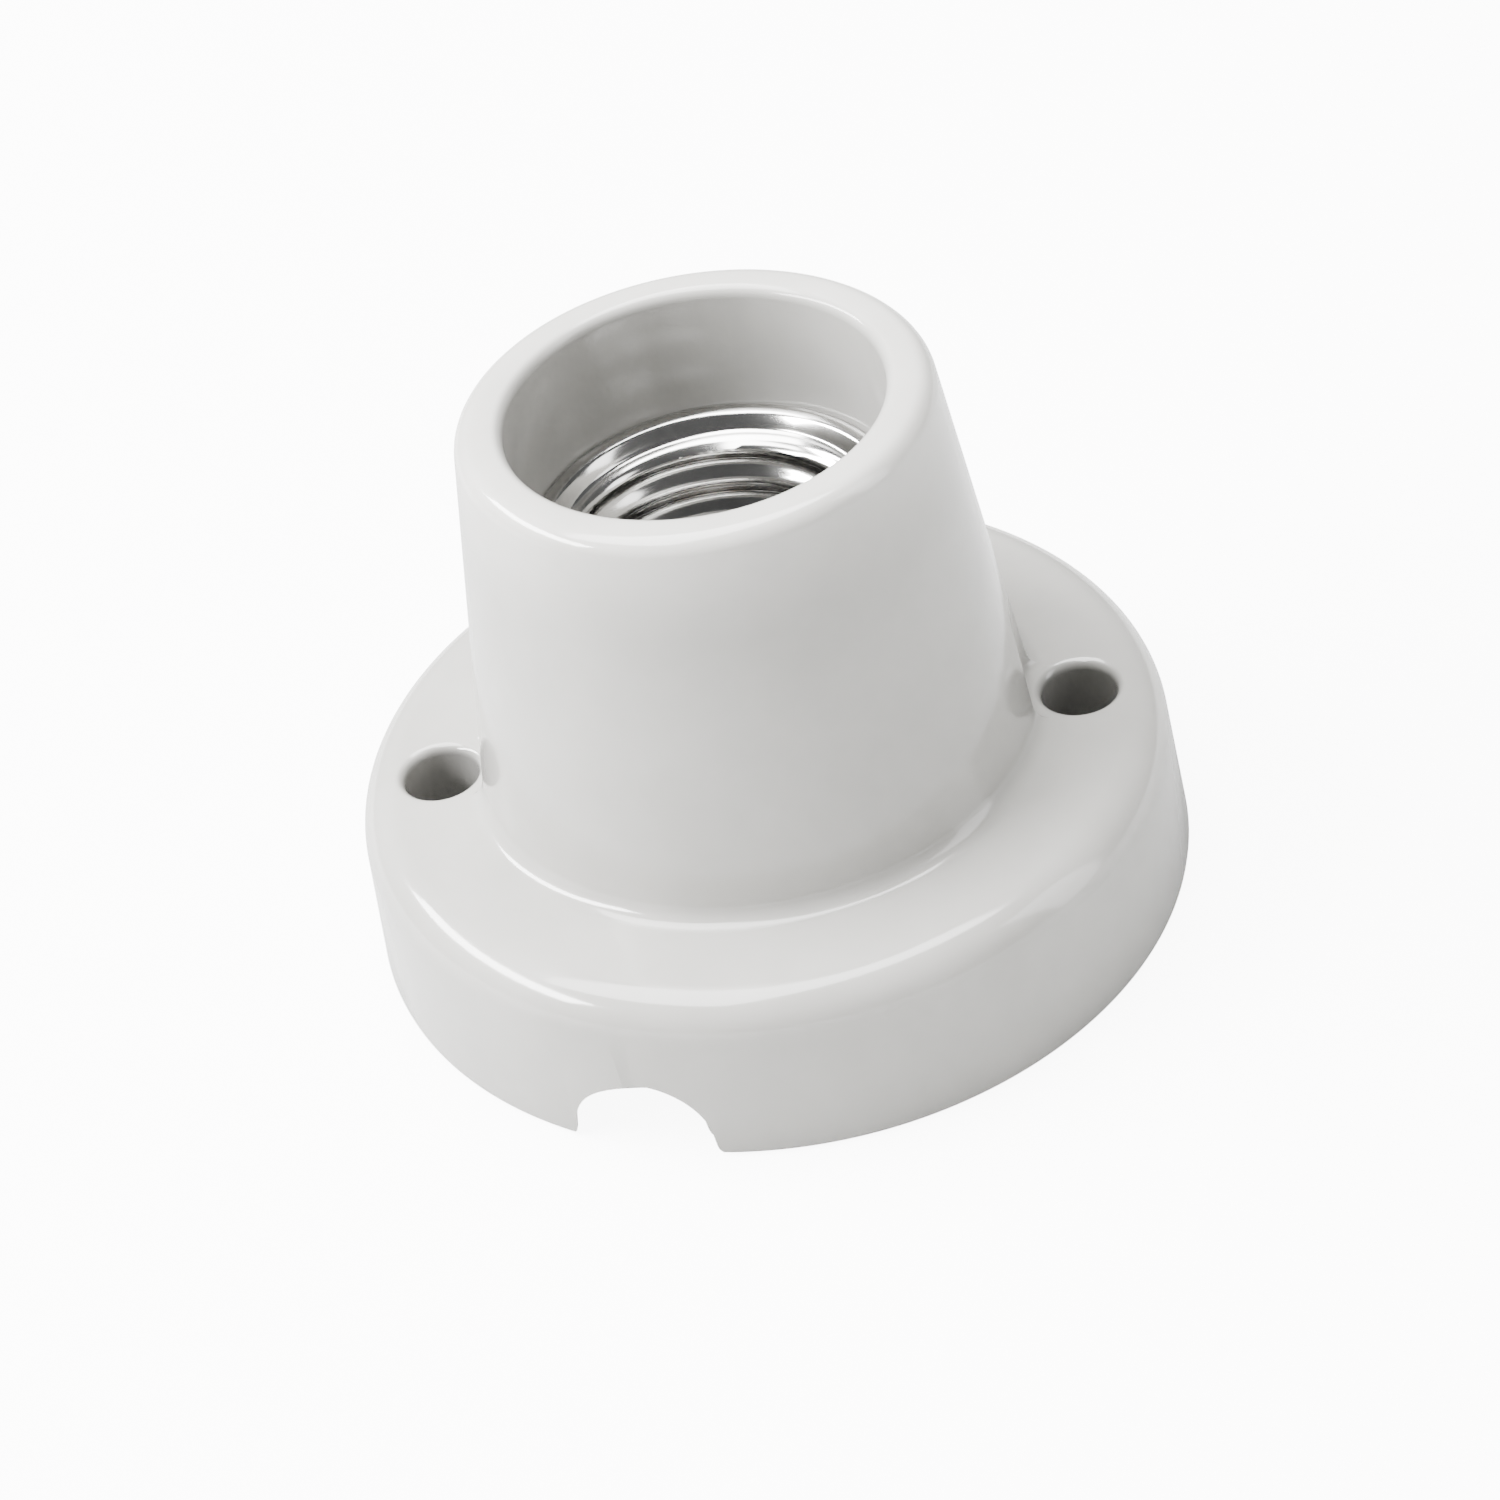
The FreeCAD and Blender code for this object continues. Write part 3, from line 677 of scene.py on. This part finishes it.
def addBosses(body, p):
    foot, wide, fillet = p["bossFoot"], p["bossRadius"], p["bossFillet"]
    top, past = p["cavityTop"] + p["hair"], p["cavityTop"] + tooling["overlap"]
    section = [(0, foot, 0), (wide, foot, p["edge"]), (wide, top, fillet),
               (wide + 2 * fillet, top, 0), (wide + 2 * fillet, past, 0), (0, past, 0)]
    for side in (-p["holeSpacing"] / 2, p["holeSpacing"] / 2):
        combine(body, turnTool(section, (side, 0), p["bossTurns"]), "UNION")


def addSoft(body, sizes, middle, p, azimuth=0.0):
    block = addBlock(sizes, middle, azimuth)
    softenEdges(block, p["edge"], p["edgeSteps"], p["edgeAngle"])
    combine(body, block, "UNION")


def addRib(body, p):
    length = p["ribTo"] - p["ribFrom"]
    rise = p["cavityTop"] + tooling["overlap"] - p["ribFoot"]
    middle = ((p["ribTo"] + p["ribFrom"]) / 2, 0, p["ribFoot"] + rise / 2)
    addSoft(body, (length, p["ribWidth"], rise), middle, p, p["ribAzimuth"])


def addIsland(body, p):
    width, inner, outer, height = p["island"]
    root = tooling["overlap"]
    middle = (0, -(inner + outer) / 2, p["wellFloor"] + height / 2 - root / 2)
    addSoft(body, (width, outer - inner, height + root), middle, p)


def cutFloor(body, p):
    # the holes of the shell's and the contact's screws, and the recesses for the terminals' own
    holeTop = p["wellFloor"] + p["floorHoleReach"]
    recessTop = p["cavityTop"] + p["recessDepth"]
    bores = [(place, p["floorHoleRadius"], holeTop) for place in p["floorHoles"]]
    bores += [(place, p["recessRadius"], recessTop) for place in p["recesses"]]
    for place, radius, top in bores:
        foot = flaredFoot(radius, p["cavityTop"] - p["hair"], p["edge"])
        section = foot + [(radius, top, 0), (0, top, 0)]
        combine(body, turnTool(section, place, p["boreTurns"]), "DIFFERENCE")


def flaredFoot(radius, foot, edge):
    # the lower end of a hole's section, which leaves a round where the hole meets a face
    rim, past = radius + edge + tooling["flare"], foot - tooling["overlap"]
    return [(0, past, 0), (rim, past, 0), (rim, foot, 0), (radius, foot, edge)]


def cutFixings(body, p):
    # the screw holes, and the scoops that let their heads past the neck
    radius, wide = p["holeRadius"], p["scoopRadius"]
    top, hair = p["baseTop"], p["hair"]
    rim = radius + p["holeRound"] + tooling["flare"]
    scoopTop = top + p["scoopHeight"]
    clear = top + p["scoopHeight"] / 2
    scoop = [(0, scoopTop, 0), (wide, scoopTop, p["scoopTopRound"]),
             (wide, top + 2 * hair, p["scoopRound"]), (0, top + 2 * hair, 0)]
    hole = flaredFoot(radius, p["bossFoot"] - hair, p["edge"])
    hole += [(radius, top + hair, p["holeRound"]), (rim, top + hair, 0), (rim, clear, 0),
             (0, clear, 0)]
    sides = (-p["holeSpacing"] / 2, p["holeSpacing"] / 2)
    for section in (scoop, hole):
        pair = [turnTool(section, (side, 0), p["toolTurns"]) for side in sides]
        joinPieces(*pair)
        combine(body, pair[0], "DIFFERENCE")


def joinPieces(piece, other):
    pick(piece)
    other.select_set(True)
    bpy.ops.object.join()


def notchStations(p):
    # how far out each outline of the notch's tool stands, and how much it is widened there
    start, back, end = p["notchStart"], p["notchBack"], p["notchEnd"]
    inner, outer, steps = p["notchInner"], p["notchRound"], p["notchSteps"]
    stations = [(start, inner)]
    for step in range(steps, -1, -1):
        angle = math.pi / 2 * step / steps
        stations.append((back + inner - inner * math.sin(angle), inner * (1 - math.cos(angle))))
    for step in range(steps + 1):
        angle = math.pi / 2 * step / steps
        stations.append((end - outer + outer * math.sin(angle), outer * (1 - math.cos(angle))))
    return stations + [(end + p["notchReach"], outer)]


def cutNotch(body, p):
    # an arch with spreading feet, drawn as a path, filled and drawn outwards
    half, foot, top, low = p["notchHalf"], p["notchFoot"], p["notchHeight"], -p["hair"]
    stand = half + p["notchLean"]
    spread = stand + p["notchSpread"] * foot
    past, bow = low - tooling["overlap"], p["notchArch"] * half
    arch = drawPath("arch", [
        (-spread, past, 0), (-spread, low, 0), (-stand, low, foot), (-half, top, bow),
        (half, top, bow), (stand, low, foot), (spread, low, 0), (spread, past, 0)])
    bpy.ops.mesh.edge_face_add()
    stations = notchStations(p)
    along, done = stations[0]
    grow = ((half + done) / half, 1, (top + done) / top)
    bpy.ops.transform.resize(value=grow, center_override=(0, 0, 0))
    for place, wide in stations[1:]:
        step = (0, (place - along) * mm, 0)
        bpy.ops.mesh.extrude_region_move(TRANSFORM_OT_translate={"value": step})
        grow = ((half + wide) / (half + done), 1, (top + wide) / (top + done))
        bpy.ops.transform.resize(value=grow, center_override=(0, 0, 0))
        along, done = place, wide
    bpy.ops.object.mode_set(mode="OBJECT")
    cleanMesh(arch)
    movePiece(arch, (0, p["notchStart"] - p["notchEnd"], 0))
    turnPiece(arch, p["notchSlant"])
    movePiece(arch, (0, p["notchEnd"], 0))
    turnPiece(arch, p["notchAzimuth"] - 90)
    combine(body, arch, "DIFFERENCE")


makePorcelain(porcelain)


# Thread shell: one ring of edges, drawn up turn by turn while its centre circles the axis

shell = {
    "sides": 144,
    "major": 13.3,                  # inside radius in the grooves, mm
    "minor": 12.2,                  # inside radius on the ridges
    "pitch": 3.629,
    "stepsPerTurn": 18,
    "firstRidge": 38.0,             # height of the upper ridge at the azimuth below
    "firstAzimuth": 70.0,
    "threadFoot": 18.6,
    "threadTop": 38.75,
    "fadeFoot": 2.4,                # how far the thread takes to grow and to run out
    "fadeTop": 0.9,
    "topShare": 0.25,               # share of its depth that is left under the collar
    "foot": [(12.5, 15.0), (13.1, 15.0), (13.3, 15.2), (13.3, 16.6)],
    "collar": [(13.55, 38.86), (13.9, 38.99), (14.02, 39.12), (14.12, 39.3), (14.65, 40.05),
               (14.8, 40.2), (15.05, 40.33), (15.4, 40.38), (15.8, 40.38), (16.02, 40.3),
               (16.15, 40.15)],
    "wall": 0.4,
    "lugWidth": 7.0,
    "lugInner": 4.9,
    "lugOuter": 12.9,
    "lugHeight": 14.6,
    "lugRound": 1.6,
    "lugRoundSteps": 6,
    "screwOffset": 8.0,
    "lugHole": 1.95,
    "edge": 0.08,
    "edgeSteps": 2,
    "edgeAngle": 50,
}


def drawRing(ring, radius, height, centre):
    # pulls the selected ring of edges to a new height, centre and radius
    shift = ((centre[0] - ring["centre"][0]) * mm, (centre[1] - ring["centre"][1]) * mm,
             (height - ring["height"]) * mm)
    bpy.ops.mesh.extrude_region_move(TRANSFORM_OT_translate={"value": shift})
    wide = radius / ring["radius"]
    if radius != ring["radius"]:
        middle = (centre[0] * mm, centre[1] * mm, 0)
        bpy.ops.transform.resize(value=(wide, wide, 1), center_override=middle)
    ring.update(radius=radius, height=height, centre=centre)


def startRing(name, radius, height, sides, capped=False):
    clearSelection()
    place = (0, 0, height * mm)
    bpy.ops.mesh.primitive_circle_add(vertices=sides, radius=radius * mm, location=place)
    piece = addPiece(name)
    settle(piece)
    bpy.ops.object.mode_set(mode="EDIT")
    bpy.ops.mesh.select_all(action="SELECT")
    if capped:
        bpy.ops.mesh.edge_face_add()
    return piece, {"radius": radius, "height": height, "centre": (0, 0)}


def makeShell(s):
    piece, ring = startRing("rolledShell", *s["foot"][0], s["sides"])
    for radius, height in s["foot"][1:]:
        drawRing(ring, radius, height, (0, 0))
    depth = (s["major"] - s["minor"]) / 2
    low, high = s["threadFoot"], s["threadTop"]
    start = math.radians(s["firstAzimuth"] + 180)
    steps = round((high - low) / s["pitch"] * s["stepsPerTurn"])
    for step in range(steps + 1):
        height = low + (high - low) * step / steps
        grow = min(1, (height - low) / s["fadeFoot"])
        end = min(1, (high - height) / s["fadeTop"] + s["topShare"])
        swing = depth * math.sin(grow * math.pi / 2) * end
        turn = start + math.tau * (height - s["firstRidge"]) / s["pitch"]
        centre = (swing * math.cos(turn), swing * math.sin(turn))
        drawRing(ring, s["major"] - swing, height, centre)
    for radius, height in s["collar"]:
        drawRing(ring, radius, height, (0, 0))
    bpy.ops.object.mode_set(mode="OBJECT")
    cleanMesh(piece)
    useModifier(piece, "SOLIDIFY", thickness=s["wall"] * mm, offset=-1, use_even_offset=True)
    for side in (0, 180):
        addLug(piece, s, side)
    softenEdges(piece, s["edge"], s["edgeSteps"], s["edgeAngle"])
    finishPiece(piece, "shell", "thread_shell", "holder")


def addLug(piece, s, azimuth):
    length, low = s["lugOuter"] - s["lugInner"], s["lugHeight"]
    middle = ((s["lugOuter"] + s["lugInner"]) / 2, 0, low + s["wall"] / 2)
    lug = addBlock((length, s["lugWidth"], s["wall"]), middle)
    roundCorners(lug, s["lugInner"] * mm + tiny, s["lugRound"], s["lugRoundSteps"])
    past = tooling["overlap"]
    hole = addRod(s["lugHole"], low - past, low + past, (s["screwOffset"], 0))
    combine(lug, hole, "DIFFERENCE")
    turnPiece(lug, azimuth)
    joinPieces(piece, lug)


def roundCorners(piece, limit, radius, steps):
    # rounds the upright edges whose x is below the limit, in metres
    bpy.ops.object.mode_set(mode="EDIT")
    bpy.ops.mesh.select_mode(type="EDGE")
    selectEdges(piece, lambda one, two: (one - two).xy.length < tiny and one.x < limit)
    bpy.ops.mesh.bevel(offset=radius * mm, segments=steps, affect="EDGES")
    bpy.ops.mesh.select_mode(type="VERT")
    bpy.ops.object.mode_set(mode="OBJECT")


makeShell(shell)


# Folded strips: a band drawn along its bends, thickened and drilled

fold = {
    "bendSteps": 6,
    "cornerSteps": 5,
    "edgeSteps": 2,
    "edgeAngle": 50,
}

strips = {
    "contactLeaf": {
        "path": [(10.6, 0.0), (4.0, 0.0), (2.4, 2.6), (-2.8, 2.6), (-4.0, 1.4)],
        "width": 6.0, "wall": 0.4, "side": 1, "bend": 0.7, "lift": 15.8, "azimuth": -90,
        "holes": [(7.5, 1.95), (0.0, 0.95)], "corner": 1.2, "edge": 0.06,
        "finish": "bronze", "slot": "bronze_leaf", "node": "centre_contact",
        "body": None,               # it rides on none
    },
    "neutralStrip": {
        "path": [(4.8, 0.0), (21.0, 0.0), (21.0, -3.0)],
        "width": 7.0, "wall": 1.0, "side": 1, "bend": 1.0, "lift": 8.6, "azimuth": 180,
        "holes": [(8.0, 1.8), (16.5, 1.8)], "corner": 0.8, "edge": 0.12,
        "finish": "brass", "slot": "terminal_brass", "node": "neutral_terminal", "body": "holder",
    },
    "liveStrip": {
        "path": [(4.8, 0.0), (21.0, 0.0), (21.0, -3.0)],
        "width": 7.0, "wall": 1.0, "side": 1, "bend": 1.0, "lift": 8.6, "azimuth": -90,
        "holes": [(7.5, 1.8), (16.5, 1.8)], "corner": 0.8, "edge": 0.12,
        "finish": "brass", "slot": "terminal_brass", "node": "live_terminal", "body": "holder",
    },
}


def overPoint(co, along, height):
    # whether a vertex belongs to the bend, or the end, at this point of the path
    return abs(co.x - along * mm) + abs(co.z - height * mm) < tiny


def foldStrip(name, f, s):
    clearSelection()
    bpy.ops.mesh.primitive_plane_add(size=mm)
    piece = addPiece(name)
    start = s["path"][0]
    bpy.ops.object.mode_set(mode="EDIT")
    bpy.ops.mesh.select_all(action="SELECT")
    bpy.ops.transform.resize(value=(0, s["width"], 1))
    bpy.ops.mesh.remove_doubles(threshold=tiny)
    bpy.ops.transform.translate(value=(start[0] * mm, 0, start[1] * mm))
    for here, there in zip(s["path"], s["path"][1:]):
        step = ((there[0] - here[0]) * mm, 0, (there[1] - here[1]) * mm)
        bpy.ops.mesh.extrude_region_move(TRANSFORM_OT_translate={"value": step})
    bpy.ops.mesh.select_mode(type="EDGE")
    for point in s["path"][1:-1]:
        selectEdges(piece, lambda one, two: overPoint(one, *point) and overPoint(two, *point))
        bpy.ops.mesh.bevel(offset=s["bend"] * mm, segments=f["bendSteps"], affect="EDGES")
    for point in (s["path"][0], s["path"][-1]):
        selectVerts(piece, lambda co: overPoint(co, *point))
        bpy.ops.mesh.bevel(offset=s["corner"] * mm, segments=f["cornerSteps"], affect="VERTICES")
    bpy.ops.mesh.select_mode(type="VERT")
    bpy.ops.object.mode_set(mode="OBJECT")
    useModifier(piece, "SOLIDIFY", thickness=s["wall"] * mm, offset=s["side"],
                use_even_offset=True)
    low = min(vert.co.z for vert in piece.data.vertices) / mm - tooling["overlap"]
    high = max(vert.co.z for vert in piece.data.vertices) / mm + tooling["overlap"]
    for along, radius in s["holes"]:
        combine(piece, addRod(radius, low, high, (along, 0)), "DIFFERENCE")
    softenEdges(piece, s["edge"], f["edgeSteps"], f["edgeAngle"])
    movePiece(piece, (0, 0, s["lift"]))
    turnPiece(piece, s["azimuth"])
    dropSlivers(piece)
    finishPiece(piece, s["finish"], s["node"], s["body"])
    return piece


folded = {name: foldStrip(name, fold, sizes) for name, sizes in strips.items()}
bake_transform(folded["contactLeaf"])


# Screws: a ring drawn along the thread, out under the head and over it, then slotted

screw = {
    "sides": 24,
    "radius": 1.75,
    "tip": 0.6,                     # how far the end is narrowed, mm
    "pitch": 0.6,
    "stepsPerTurn": 10,
    "swing": 0.13,                  # half the thread's depth, mm
    "topShare": 0.02,               # share of that which is left at the thread's upper end
    "plain": 0.5,                   # smooth shank under the head
    "head": [(1.75, 0.0), (2.88, 0.0), (3.0, 0.12), (3.0, 1.1), (2.93, 1.36), (2.75, 1.55),
             (2.3, 1.74), (1.6, 1.9), (0.8, 1.98), (0.3, 2.0)],
    "slotWidth": 0.9,
    "slotFloor": 1.0,
    "slotReach": 9.0,               # length and height of the block that cuts it
    "edge": 0.07,
    "edgeSteps": 2,
    "edgeAngle": 70,
    "smoothAngle": 62,              # smooth over the thread's crest, sharp at the slot
    "fitted": {                     # place under the head, length, slot's turn, way up, body
        "neutral_shell_screw": ((-8.0, 0.0, 15.0), 8.4, 25, 1, "holder"),
        "plain_shell_screw": ((8.0, 0.0, 15.0), 10.7, -40, 1, "holder"),
        "centre_contact_screw": ((0.0, -7.5, 16.2), 9.6, 70, 1, "holder"),
        "neutral_terminal_screw": ((-16.5, 0.0, 6.8), 5.4, 15, -1, "neutral_screw"),
        "live_terminal_screw": ((0.0, -16.5, 6.8), 5.4, -55, -1, "live_screw"),
    },
}


def makeScrew(s, node, place, length, turn, way, body):
    ends = s["radius"] - s["tip"], -length
    piece, ring = startRing(nameFrom(node), *ends, s["sides"], True)
    low, high, perTurn = s["tip"] - length, -s["plain"], s["stepsPerTurn"]
    drawRing(ring, s["radius"] - s["swing"] * 2, low, (0, 0))
    turns = (high - low) / s["pitch"]
    steps = round(turns * perTurn)
    for step in range(1, steps + 1):
        height = low + (high - low) * step / steps
        angle = math.tau * turns * step / steps
        share = min(1, step / perTurn, (steps - step) / perTurn + s["topShare"])
        swing = s["swing"] * share
        centre = (swing * math.cos(angle), swing * math.sin(angle))
        drawRing(ring, s["radius"] - s["swing"], height, centre)
    for radius, height in s["head"]:
        drawRing(ring, radius, height, (0, 0))
    bpy.ops.object.mode_set(mode="OBJECT")
    cleanMesh(piece)
    wide = s["slotReach"]
    slot = addBlock((wide, s["slotWidth"], wide), (0, 0, s["slotFloor"] + wide / 2), turn)
    combine(piece, slot, "DIFFERENCE")
    softenEdges(piece, s["edge"], s["edgeSteps"], s["edgeAngle"])
    if way < 0:
        piece.rotation_euler = (math.pi, 0, 0)
        settle(piece)
    movePiece(piece, place)
    finishPiece(piece, "screw", node, body, s["smoothAngle"])


def nameFrom(node):
    # neutral_shell_screw becomes neutralShellScrewTurned, so that no node's name is used twice
    words = node.split("_")
    return words[0] + "".join(word.title() for word in words[1:]) + "Turned"


for node, fit in screw["fitted"].items():
    makeScrew(screw, node, *fit)


# Nut, split washer and clamps

smallParts = {
    "nutCorner": 6.0 / math.sqrt(3),    # 6 mm across its flats
    "nutSpare": 0.5,                    # how much longer the hexagon is before it is crowned
    "nutPlace": (8.0, 0.0, 0.0),
    "nutHeights": (5.3, 7.7),
    "nutCrown": 3.05,
    "nutCrownDrop": 0.35,
    "nutBore": 1.8,
    "washerHeights": (7.7, 8.6),
    "washerRadii": (1.95, 3.05),
    "washerGap": 0.56,
    "washerCut": 3,                     # height of the block that cuts the gap
    "washerSlant": 28,
    "turns": 72,
    "clampSize": (6.0, 8.8, 1.4),
    "clampFoot": 6.8,
    "clampSheet": 0.8,
    "clampBore": 1.95,
    "clampOffset": 16.5,
    "edge": 0.12,
    "washerEdgeSteps": 2,
    "clampEdgeSteps": 3,
    "edgeAngle": 40,
}


def makeNut(p):
    low, high = p["nutHeights"]
    spare, past = p["nutSpare"], tooling["overlap"]
    nut = addRod(p["nutCorner"], low - spare, high + spare, sides=6)
    nut.name = "turnedNut"
    turnPiece(nut, 90)
    crown, drop, full = p["nutCrown"], p["nutCrownDrop"], p["nutCorner"] + tooling["flare"]
    section = [(0, low, 0), (crown, low, 0), (full, low + drop, 0),
               (full, high - drop, 0), (crown, high, 0), (0, high, 0)]
    combine(nut, turnSection("crown", section, p["turns"]), "INTERSECT")
    combine(nut, addRod(p["nutBore"], low - past, high + past), "DIFFERENCE")
    movePiece(nut, p["nutPlace"])
    dropSlivers(nut)
    finishPiece(nut, "screw", "shell_nut", "holder")


def makeSplitWasher(p):
    low, high = p["washerHeights"]
    inner, outer = p["washerRadii"]
    past = tooling["overlap"]
    washer = addRod(outer, low, high, sides=p["turns"])
    washer.name = "splitWasher"
    combine(washer, addRod(inner, low - past, high + past, sides=p["turns"]), "DIFFERENCE")
    gap = addBlock((outer, p["washerGap"], p["washerCut"]), (0, 0, 0))
    gap.rotation_euler = (math.radians(p["washerSlant"]), 0, 0)
    settle(gap)
    movePiece(gap, ((inner + outer) / 2, 0, (low + high) / 2))
    combine(washer, gap, "DIFFERENCE")
    softenEdges(washer, p["edge"], p["washerEdgeSteps"], p["edgeAngle"])
    movePiece(washer, p["nutPlace"])
    finishPiece(washer, "screw", "shell_spring_washer", "holder")


def makeClamp(p, name, node, body, azimuth):
    length, width, height = p["clampSize"]
    offset, foot, sheet = p["clampOffset"], p["clampFoot"], p["clampSheet"]
    past = tooling["overlap"]
    clamp = addBlock((length, width, height), (offset, 0, foot + height / 2))
    clamp.name = name
    channel = addBlock((length + 2 * past, width - 2 * sheet, height),
                       (offset, 0, foot + sheet + height / 2))
    combine(clamp, channel, "DIFFERENCE")
    bore = addRod(p["clampBore"], foot - past, foot + height + past, (offset, 0))
    combine(clamp, bore, "DIFFERENCE")
    softenEdges(clamp, p["edge"], p["clampEdgeSteps"], p["edgeAngle"])
    turnPiece(clamp, azimuth)
    finishPiece(clamp, "screw", node, body)


makeNut(smallParts)
makeSplitWasher(smallParts)
makeClamp(smallParts, "neutralSaddle", "neutral_clamp_washer", "neutral_clamp", 180)
makeClamp(smallParts, "liveSaddle", "live_clamp_washer", "live_clamp", -90)


# Contact button: a domed rivet through the leaf

button = {
    "section": [(0, 17.9, 0), (1.4, 17.9, 0.2), (1.4, 18.4, 0.1), (0.9, 18.4, 0),
                (0.9, 18.8, 0), (2.2, 18.8, 0.12), (2.2, 19.35, 0.15), (1.7, 19.7, 0.4),
                (0.9, 19.8, 0.5), (0, 19.8, 0)],
    "turns": 64,
}


def makeButton(b):
    rivet = turnSection("domedRivet", b["section"], b["turns"])
    finishPiece(rivet, "contact", "contact_button", "contact_button")


makeButton(button)
